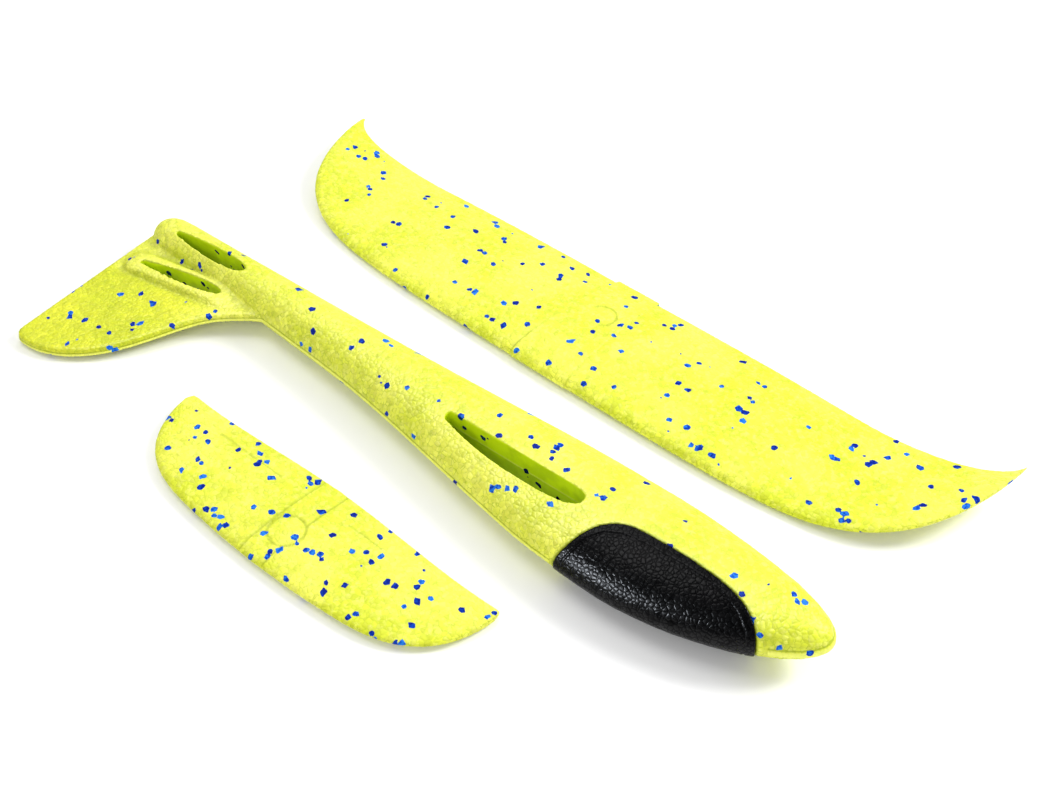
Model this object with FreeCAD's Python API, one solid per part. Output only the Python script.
import FreeCAD, Part
import os, math

# Hand-launched foam glider, laid out as a kit on a flat floor.
# Aircraft frame (fuselage, canopy and nose weight are designed in it):
#   x forward, nose tip at x = 0, y to port, z up, mid-plane y = 0.
# Surface frame (wing and tailplane are designed in it):
#   x along the span, mid-span at x = 0, y aft, z up, underside near z = 0.
# Kit frame (exported): floor at Z = 0. The fuselage lies on its starboard side, nose towards
#   +X and dorsal side towards -Y. The wing lies flat on its +Y side, the tailplane on its
#   -Y side, both with the leading edge towards -Y.
V = FreeCAD.Vector

# ------------------------------------------------------------------ fuselage
# x, height of the section centre, half height, half width
STATIONS = [
    (-472.20, -3.6, 0.9, 0.9), (-471.70, -3.6, 3.5, 3.5),
    (-470.40, -3.6, 6.3, 6.2), (-468.00, -3.6, 9.0, 8.8),
    (-464.20, -3.6, 11.2, 11.0), (-459.00, -3.5, 12.4, 12.3),
    (-450.00, -3.4, 12.9, 12.7), (-430.00, -3.3, 13.1, 13.0),
    (-400.00, -3.0, 13.6, 13.4), (-370.00, -2.3, 14.8, 13.8),
    (-340.00, -1.3, 16.1, 14.3), (-300.00, 0.0, 18.0, 14.9),
    (-260.00, 2.1, 21.1, 15.5), (-220.00, 4.7, 25.3, 16.0),
    (-180.00, 7.3, 29.6, 16.2), (-140.00, 9.4, 33.0, 16.4),
    (-100.00, 10.2, 33.7, 16.5), (-70.00, 9.4, 31.0, 16.4),
    (-45.00, 7.4, 25.9, 15.8), (-28.00, 5.4, 20.9, 14.5),
    (-16.00, 3.9, 16.0, 12.0), (-8.50, 2.9, 11.8, 9.2),
    (-4.00, 2.3, 8.1, 6.5), (-1.60, 1.9, 5.1, 4.2),
    (-0.40, 1.8, 2.6, 2.1), (0.00, 1.8, 0.8, 0.7),
]
RIDGE_EXP = 1.86            # dorsal half of the section is slightly pointed
BELLY_EXP = 2.0             # belly half is a plain ellipse
RIDGE_FADE = (-60.0, -20.0) # x range over which the ridge fades to an ellipse

# ----------------------------------------------------------------------- fin
FIN_TE_X = -470.2           # trailing edge at the root
FIN_TIP_X = -469.2          # trailing edge at the top
FIN_TOP_Z = 105.6
FIN_ROOT_Z = -2.0           # buried in the boom
FIN_ROOT_INSET = 6.0        # the root's front end lies this far aft of the leading edge
# Leading edge from the top down and forward: x, z
FIN_LE = [
    (-460.0, 106.2), (-453.5, 105.7), (-444.3, 103.4), (-435.4, 99.3), (-427.4, 93.6),
    (-417.0, 83.2), (-406.8, 67.0), (-398.6, 50.2), (-392.8, 39.0), (-386.6, 30.4),
    (-379.2, 23.4), (-370.5, 17.2), (-361.0, 12.4),
]
FIN_HALF_T = 3.1
FIN_EDGE_R = 2.2
FIN_ROUND_ABOVE = 12.0      # edges centred above this height are rounded

# Raised pod on both sides of the fin around the inclined tailplane slot:
# x, height of its centre, half height, half thickness
POD = [
    (-462.0, 26.4, 6.6, 2.6), (-460.6, 26.2, 8.3, 4.1), (-458.6, 25.9, 9.3, 5.0),
    (-454.0, 25.1, 9.9, 5.5), (-440.0, 22.7, 10.5, 5.7), (-420.0, 19.2, 10.9, 5.7),
    (-404.0, 16.4, 11.1, 5.4), (-392.0, 14.3, 11.0, 4.7), (-383.0, 12.7, 10.4, 3.8),
    (-376.0, 11.5, 9.4, 2.8),
]
POD_EXP = 2.7

# ---------------------------------------------------------------------- wing
# Half span station, leading edge y, trailing edge y, thickness
WING_PLAN = [
    (0.0, 18.6, 106.3, 10.7), (30.0, 18.7, 106.4, 10.7),
    (60.0, 18.9, 106.5, 10.5), (90.0, 19.4, 106.4, 10.1),
    (120.0, 20.4, 106.0, 9.5), (145.0, 22.4, 105.4, 8.8),
    (168.0, 25.8, 104.8, 7.9), (188.0, 31.6, 104.5, 6.9),
    (205.0, 40.6, 104.6, 5.9), (218.0, 52.4, 105.4, 5.0),
    (228.0, 68.0, 107.4, 4.2), (234.0, 83.0, 110.0, 3.5),
    (238.0, 98.5, 113.2, 2.9), (239.6, 109.0, 115.4, 2.3),
    (240.0, 113.6, 116.2, 1.9),
]
WING_HALF_SPAN = WING_PLAN[-1][0]
LIFT_START = 150.0          # tips curl up outboard of this
TIP_LIFT = 17.0
TAB_HALF = 17.5             # half width of the thicker centre tab
TAB_LE, TAB_TE = 18.0, 108.2
TAB_T = 11.3
SHAVE = 0.04                # taken off the underside, which leaves it one plane

# Flat-bottomed section: chord fraction, height / thickness.
# The top runs from the trailing edge to the nose, the bottom back from the nose.
WING_TOP = [
    (1.0, 0.36), (0.93, 0.49), (0.84, 0.64), (0.74, 0.78), (0.64, 0.88),
    (0.53, 0.95), (0.42, 0.99), (0.32, 1.0), (0.22, 0.98), (0.14, 0.93),
    (0.075, 0.83), (0.032, 0.69), (0.009, 0.53), (0.0, 0.37),
]
WING_BOTTOM = [
    (0.007, 0.21), (0.026, 0.09), (0.06, 0.025), (0.11, 0.0), (0.3, 0.0),
    (0.5, 0.0), (0.7, 0.0), (0.85, 0.0), (1.0, 0.0),
]
WING_CURVED = len(WING_TOP) + 4     # points up to 11 % of the chord; flat aft of there

# ----------------------------------------------------------------- tailplane
# Half span station, leading edge y, trailing edge y, thickness
TAIL_PLAN = [
    (0.0, -174.0, -115.5, 8.0), (25.0, -173.3, -116.3, 8.0),
    (45.0, -172.0, -117.3, 7.8), (62.0, -170.2, -118.2, 7.5),
    (76.0, -167.2, -118.8, 7.0), (87.0, -162.6, -119.0, 6.4),
    (96.0, -156.2, -118.9, 5.7), (102.5, -148.8, -118.7, 5.0),
    (107.0, -140.6, -118.4, 4.3), (109.8, -132.2, -118.6, 3.7),
    (111.0, -125.6, -120.0, 3.1),
]
TAIL_CHORD = TAIL_PLAN[0][2] - TAIL_PLAN[0][1]
TAIL_T = TAIL_PLAN[0][3]
TAIL_FLOOR_GAP = 0.02

# Symmetrical section, same columns as the wing's
TAIL_TOP = [
    (1.0, 0.13), (0.93, 0.19), (0.82, 0.29), (0.7, 0.385), (0.57, 0.455),
    (0.45, 0.49), (0.34, 0.5), (0.24, 0.485), (0.15, 0.43), (0.08, 0.34),
    (0.03, 0.22), (0.007, 0.11), (0.0, 0.0),
]
TAIL_BOTTOM = [(u, -h) for u, h in reversed(TAIL_TOP[:-1])]

# ------------------------------------------------- cuts through the fuselage
CUT_REACH = 40.0            # cutters run this far to each side of the mid-plane
SLOT_GAP = 0.15
# Front end x, z and the angle by which the aft end is raised
WING_SLOT = (-130.7, 9.55, 0.0)
BOOM_SLOT = (-390.2, -2.0, 1.2)
FIN_SLOT = (-395.4, 14.9, 9.9)

# Canopy seat in the top of the nose, side view from aft to front: x, z
CANOPY_SEAT = [
    (-127.3, 47.0), (-126.6, 43.0), (-125.0, 39.0), (-123.1, 34.3), (-120.6, 28.2),
    (-116.6, 21.6), (-110.8, 16.0), (-104.0, 12.7), (-94.4, 11.4), (-83.8, 11.0),
    (-73.5, 10.9), (-62.9, 11.2), (-53.1, 12.0), (-44.2, 13.5), (-37.2, 15.7),
    (-31.4, 18.8), (-26.8, 22.6), (-23.4, 27.6), (-21.6, 33.0),
]
SEAT_CUT_TOP = 60.0
CANOPY_GAP = 0.45           # between the canopy and its seat
CANOPY_PROUD = 0.7          # canopy skin above the fuselage skin
CANOPY_RANGE = (-150.0, -3.0)   # stations used for the canopy skin

# Ballast pocket under the canopy
POCKET_X = (-98.0, -36.0)
POCKET_LENGTH = POCKET_X[1] - POCKET_X[0]
POCKET_W = 14.0
POCKET_FLOOR_Z = -3.2
POCKET_CUT_H = 30.0

# Locating tongue under the canopy
TONGUE_GAP = 1.1            # each side, so the canopy lifts off level from the rolled fuselage
TONGUE_AFT_GAP = 1.0
TONGUE_LENGTH = POCKET_LENGTH - 10.0
TONGUE_ROOT_Z = 11.9
TONGUE_DEPTH = 4.0          # below the root height
TONGUE_OVERLAP = 5.0        # above it, buried in the canopy

# Nose weight, a bar lying in the pocket
WEIGHT_D = 10.0
WEIGHT_L = 24.0
WEIGHT_CHAMFER = 0.5
WEIGHT_END_GAP = 0.3
WEIGHT_FLOOR_GAP = 0.05

# -------------------------------------------------------------------- layout
HEADING = -40.3             # direction of the kit frame's X axis in the room frame
NOSE_AT = (137.24, -174.10) # nose tip in the room frame
FUS_ROLL = 4.81             # dorsal side tips down until the fin tip rests
FUS_PITCH = -0.91           # negative raises the nose
# Shift along span, shift along chord, direction of span in the room frame
WING_AT = (-8.8, 0.3, -42.06)
TAIL_AT = (-24.26, 0.98, -40.86)


# ------------------------------------------------------------------- helpers
def refine(table, step):
    """Monotone cubic resampling of a station table, keeping its own stations."""
    count = len(table)
    gaps = [table[i + 1][0] - table[i][0] for i in range(count - 1)]
    slopes = []
    for k in range(1, len(table[0])):
        secants = [(table[i + 1][k] - table[i][k]) / gaps[i] for i in range(count - 1)]
        column = [secants[0]]
        for i in range(1, count - 1):
            if secants[i - 1] * secants[i] <= 0:
                column.append(0.0)
            else:
                w1 = 2 * gaps[i] + gaps[i - 1]
                w2 = gaps[i] + 2 * gaps[i - 1]
                column.append((w1 + w2) / (w1 / secants[i - 1] + w2 / secants[i]))
        column.append(secants[-1])
        slopes.append(column)
    rows = []
    for i, gap in enumerate(gaps):
        parts = max(1, int(round(gap / step)))
        for j in range(parts):
            t = j / float(parts)
            row = [table[i][0] + t * gap]
            for k, column in enumerate(slopes, 1):
                row.append((2 * t ** 3 - 3 * t * t + 1) * table[i][k]
                           + (t ** 3 - 2 * t * t + t) * column[i] * gap
                           + (-2 * t ** 3 + 3 * t * t) * table[i + 1][k]
                           + (t ** 3 - t * t) * column[i + 1] * gap)
            rows.append(tuple(row))
    rows.append(tuple(table[-1]))
    return rows


def open_spline(points):
    curve = Part.BSplineCurve()
    curve.interpolate(Points=points)
    return curve.toShape()


def signed_power(value, exponent):
    return math.copysign(abs(value) ** exponent, value)


def oval_wire(station, upper_exp, lower_exp, count, start, grow=0.0):
    """Closed superellipse across x; start is the index of the seam point from the top."""
    x, z_mid, half_h, half_w = station
    points = []
    for i in range(count):
        angle = 2.0 * math.pi * (i + start) / count
        c, s = math.cos(angle), math.sin(angle)
        power = 2.0 / (upper_exp if c > 0 else lower_exp)
        points.append(V(x, (half_w + grow) * signed_power(s, power),
                        z_mid + (half_h + grow) * signed_power(c, power)))
    curve = Part.BSplineCurve()
    curve.interpolate(Points=points, PeriodicFlag=True,
                      Parameters=[float(i) for i in range(count + 1)])
    return Part.Wire([curve.toShape()])


def fuselage_loft(stations, grow=0.0):
    wires = []
    for station in stations:
        fade = (station[0] - RIDGE_FADE[0]) / (RIDGE_FADE[1] - RIDGE_FADE[0])
        fade = min(1.0, max(0.0, fade))
        ridge = RIDGE_EXP + (BELLY_EXP - RIDGE_EXP) * fade
        wires.append(oval_wire(station, ridge, BELLY_EXP, count=28, start=18, grow=grow))
    return Part.makeLoft(wires, True, True)


def make_profile(top, bottom, chord, thickness, curved):
    """Top, bottom and the knots of the first `curved` outline points.
    The same knots for every section of one surface keep its loft even."""
    outline = [(u * chord, h * thickness) for u, h in (top + bottom)[:curved]]
    knots = [0.0]
    for p, q in zip(outline, outline[1:]):
        knots.append(knots[-1] + math.hypot(q[0] - p[0], q[1] - p[1]) ** 0.7)
    return top, bottom, [k / knots[-1] for k in knots]


WING_PROFILE = make_profile(WING_TOP, WING_BOTTOM, chord=90.0, thickness=11.0,
                            curved=WING_CURVED)
TAIL_PROFILE = make_profile(TAIL_TOP, TAIL_BOTTOM, chord=58.0, thickness=8.0,
                            curved=len(TAIL_TOP + TAIL_BOTTOM))


def outline_points(profile, le, te, thickness, base_z):
    """(chordwise, height) from the top of the trailing edge round the nose to its bottom."""
    return [(le + u * (te - le), base_z + h * thickness) for u, h in profile[0] + profile[1]]


def grown_outline(profile, chord, thickness, grow):
    """Outline with its nose at 0, offset outwards by grow."""
    points = outline_points(profile, 0.0, chord, thickness, 0.0)
    nose = len(profile[0]) - 1
    last = len(points) - 1
    grown = []
    for i, (along, height) in enumerate(points):
        if i == 0:
            nx, nz = 1.0, 1.0
        elif i == last:
            nx, nz = 1.0, -1.0
        else:
            dx = points[i + 1][0] - points[i - 1][0]
            dz = points[i + 1][1] - points[i - 1][1]
            length = math.hypot(dx, dz)
            nx, nz = dz / length, -dx / length
            # outwards is up ahead of the nose point in the list, down from there on
            if nz * (1 if i < nose else -1) < 0:
                nx, nz = -nx, -nz
        grown.append((along + grow * nx, height + grow * nz))
    return grown


def section_wire(profile, points):
    """Closed section: a spline through the curved part, straight lines for the rest."""
    knots = profile[2]
    curved = points[:len(knots)]
    curve = Part.BSplineCurve()
    curve.interpolate(Points=curved, Parameters=knots)
    edges = [curve.toShape()]
    if len(curved) < len(points):
        edges.append(Part.makeLine(curved[-1], points[-1]))
    edges.append(Part.makeLine(points[-1], points[0]))
    return Part.Wire(edges)


def span_section(profile, x, le, te, thickness, base_z):
    outline = outline_points(profile, le, te, thickness, base_z)
    return section_wire(profile, [V(x, y, z) for y, z in outline])


def both_halves(wires):
    half = Part.makeLoft(wires, True, True)
    return half.fuse(half.mirror(V(0, 0, 0), V(1, 0, 0)))


def side_cutter(wire):
    """Prism through the fuselage from a side view wire at y = -CUT_REACH."""
    return Part.Face(wire).extrude(V(0, 2 * CUT_REACH, 0))


# ------------------------------------------------------------ fuselage group
def make_fin():
    """Plate with rounded edges."""
    tip = V(FIN_TIP_X, 0, FIN_TOP_Z - 5.0)
    shoulder = V(FIN_TIP_X + 1.5, 0, FIN_TOP_Z - 1.6)
    tip_arc = open_spline([tip, V(FIN_TIP_X + 0.45, 0, FIN_TOP_Z - 3.0), shoulder])
    le_points = [V(x, 0, z) for x, z in FIN_LE]
    le_edge = open_spline([shoulder, V(FIN_TIP_X + 4.5, 0, FIN_TOP_Z + 0.2)] + le_points)
    le_foot = le_points[-1]
    root_front = V(le_foot.x - FIN_ROOT_INSET, 0, FIN_ROOT_Z)
    root_rear = V(FIN_TE_X, 0, FIN_ROOT_Z)
    wire = Part.Wire([tip_arc, le_edge, Part.makeLine(le_foot, root_front),
                      Part.makeLine(root_front, root_rear), Part.makeLine(root_rear, tip)])
    fin = Part.Face(wire).extrude(V(0, 2 * FIN_HALF_T, 0))
    fin.translate(V(0, -FIN_HALF_T, 0))
    rim = [e for e in fin.Edges
           if abs(abs(e.CenterOfMass.y) - FIN_HALF_T) < 1e-3
           and e.CenterOfMass.z > FIN_ROUND_ABOVE]
    # the fillet can fail where the splines meet; the plate then keeps square edges
    try:
        return fin.makeFillet(FIN_EDGE_R, rim)
    except Exception:
        return fin


def slot_cutter(profile, chord, thickness, slot):
    """The surface's own section with clearance, run through from side to side."""
    front_x, front_z, angle = slot
    c, s = math.cos(math.radians(angle)), math.sin(math.radians(angle))
    # heights lean aft as the chord line rises aft, so an inclined section is slightly sheared
    points = [V(front_x - aft * c - height * s, -CUT_REACH, front_z + aft * s + height * c)
              for aft, height in grown_outline(profile, chord, thickness, SLOT_GAP)]
    return side_cutter(section_wire(profile, points))


def above_seat(seat_line):
    """Everything above a seat line of (x, z) points."""
    points = [V(x, -CUT_REACH, z) for x, z in seat_line]
    top_front = V(points[-1].x, -CUT_REACH, SEAT_CUT_TOP)
    top_aft = V(points[0].x, -CUT_REACH, SEAT_CUT_TOP)
    return side_cutter(Part.Wire([open_spline(points), Part.makeLine(points[-1], top_front),
                                  Part.makeLine(top_front, top_aft),
                                  Part.makeLine(top_aft, points[0])]))


def make_fuselage():
    """Body, fin and pod in one, with the slots, canopy seat and pocket cut out."""
    body = fuselage_loft(refine(STATIONS, step=12.0))
    pod = Part.makeLoft([oval_wire(row, POD_EXP, POD_EXP, count=24, start=3)
                         for row in refine(POD, step=10.0)], True, True)
    fuselage = body.fuse(make_fin()).fuse(pod)
    fuselage = fuselage.cut(slot_cutter(WING_PROFILE, TAB_TE - TAB_LE, TAB_T, WING_SLOT))
    for slot in (BOOM_SLOT, FIN_SLOT):
        fuselage = fuselage.cut(slot_cutter(TAIL_PROFILE, TAIL_CHORD, TAIL_T, slot))
    pocket = Part.makeBox(POCKET_LENGTH, POCKET_W, POCKET_CUT_H,
                          V(POCKET_X[0], -POCKET_W / 2, POCKET_FLOOR_Z))
    return fuselage.cut(above_seat(CANOPY_SEAT)).cut(pocket)


def make_canopy():
    """Slightly proud fuselage skin above the seat, with a tongue for the pocket."""
    stations = [row for row in refine(STATIONS, step=9.0)
                if CANOPY_RANGE[0] < row[0] < CANOPY_RANGE[1]]
    skin = fuselage_loft(stations, CANOPY_PROUD)
    raised_seat = []
    last = len(CANOPY_SEAT) - 1
    for i, (x, z) in enumerate(CANOPY_SEAT):
        before = CANOPY_SEAT[max(0, i - 1)]
        after = CANOPY_SEAT[min(last, i + 1)]
        dx, dz = after[0] - before[0], after[1] - before[1]
        length = math.hypot(dx, dz)
        raised_seat.append((x - CANOPY_GAP * dz / length, z + CANOPY_GAP * dx / length))
    canopy = skin.common(above_seat(raised_seat))
    tongue = Part.makeBox(TONGUE_LENGTH, POCKET_W - 2 * TONGUE_GAP,
                          TONGUE_DEPTH + TONGUE_OVERLAP,
                          V(POCKET_X[0] + TONGUE_AFT_GAP, -POCKET_W / 2 + TONGUE_GAP,
                            TONGUE_ROOT_Z - TONGUE_DEPTH))
    return canopy.fuse(tongue)


def make_weight():
    """Round bar with chamfered ends."""
    axis_z = POCKET_FLOOR_Z + WEIGHT_D / 2 + WEIGHT_FLOOR_GAP
    bar = Part.makeCylinder(WEIGHT_D / 2, WEIGHT_L,
                            V(POCKET_X[1] - WEIGHT_L - WEIGHT_END_GAP, 0, axis_z), V(1, 0, 0))
    rims = [e for e in bar.Edges
            if e.Length > 10 and abs(e.CenterOfMass.y) < 1e-6
            and abs(e.CenterOfMass.z - axis_z) < 1e-3]
    return bar.makeChamfer(WEIGHT_CHAMFER, rims)


# -------------------------------------------------------- wing and tailplane
def make_wing():
    wires = []
    for x, le, te, thickness in refine(WING_PLAN, step=15.0):
        outboard = max(0.0, (x - LIFT_START) / (WING_HALF_SPAN - LIFT_START))
        wires.append(span_section(WING_PROFILE, x, le, te, thickness, TIP_LIFT * outboard ** 2))
    tab_wire = span_section(WING_PROFILE, -TAB_HALF, TAB_LE, TAB_TE, TAB_T, 0.0)
    tab = Part.Face(tab_wire).extrude(V(2 * TAB_HALF, 0, 0))
    wing = both_halves(wires).fuse(tab).removeSplitter()
    # shave the underside to one true plane
    wing.translate(V(0, 0, -SHAVE))
    return wing.cut(Part.makeBox(600.0, 300.0, 10.0, V(-300.0, -50.0, -10.0)))


def make_tailplane():
    mid_z = TAIL_T / 2 + TAIL_FLOOR_GAP
    wires = [span_section(TAIL_PROFILE, x, le, te, thickness, mid_z)
             for x, le, te, thickness in refine(TAIL_PLAN, step=7.0)]
    return both_halves(wires).removeSplitter()


# ------------------------------------------------------ lay the kit out flat
def turn_about_z(degrees):
    return FreeCAD.Rotation(V(0, 0, 1), degrees)


def lay_flat(shape, place):
    along_span, along_chord, direction = place
    moved = shape.copy()
    moved.translate(V(along_span, along_chord, 0))
    turn = FreeCAD.Placement(V(0, 0, 0), turn_about_z(direction - HEADING))
    return moved.transformed(turn.toMatrix(), copy=True)


def fuselage_matrix():
    """Turns the aircraft frame onto its starboard side, then pitches and rolls it."""
    pitch, roll = math.radians(FUS_PITCH), math.radians(FUS_ROLL)
    forward, port, dorsal = V(1, 0, 0), V(0, 0, 1), V(0, -1, 0)
    fwd = forward * math.cos(pitch) - port * math.sin(pitch)
    pitched = forward * math.sin(pitch) + port * math.cos(pitch)
    up = dorsal * math.cos(roll) - pitched * math.sin(roll)
    side = pitched * math.cos(roll) + dorsal * math.sin(roll)
    return FreeCAD.Matrix(fwd.x, side.x, up.x, 0,
                          fwd.y, side.y, up.y, 0,
                          fwd.z, side.z, up.z, 0,
                          0, 0, 0, 1)


def lay_fuselage_group():
    """Fuselage, canopy and weight move together until the fuselage touches the floor."""
    matrix = fuselage_matrix()
    group = {"fuselage": make_fuselage(), "canopy": make_canopy(), "nose_weight": make_weight()}
    group = {name: shape.transformed(matrix, copy=True) for name, shape in group.items()}
    lowest = group["fuselage"].optimalBoundingBox(False, False).ZMin
    nose = turn_about_z(-HEADING).multVec(V(NOSE_AT[0], NOSE_AT[1], 0))
    for shape in group.values():
        shape.translate(V(nose.x, nose.y, -lowest))
    return group


kit = lay_fuselage_group()
kit["main_wing"] = lay_flat(make_wing(), WING_AT)
kit["tailplane"] = lay_flat(make_tailplane(), TAIL_AT)

# Centre the whole kit on the origin
box = FreeCAD.BoundBox()
for shape in kit.values():
    box.add(shape.optimalBoundingBox(False, False))
centring = V(-(box.XMin + box.XMax) / 2, -(box.YMin + box.YMax) / 2, 0)

os.makedirs("parts", exist_ok=True)
for name, shape in kit.items():
    shape.translate(centring)
    if shape.ShapeType != "Solid" and len(shape.Solids) == 1:
        shape = shape.Solids[0]
    shape.exportStep("parts/%s.step" % name)
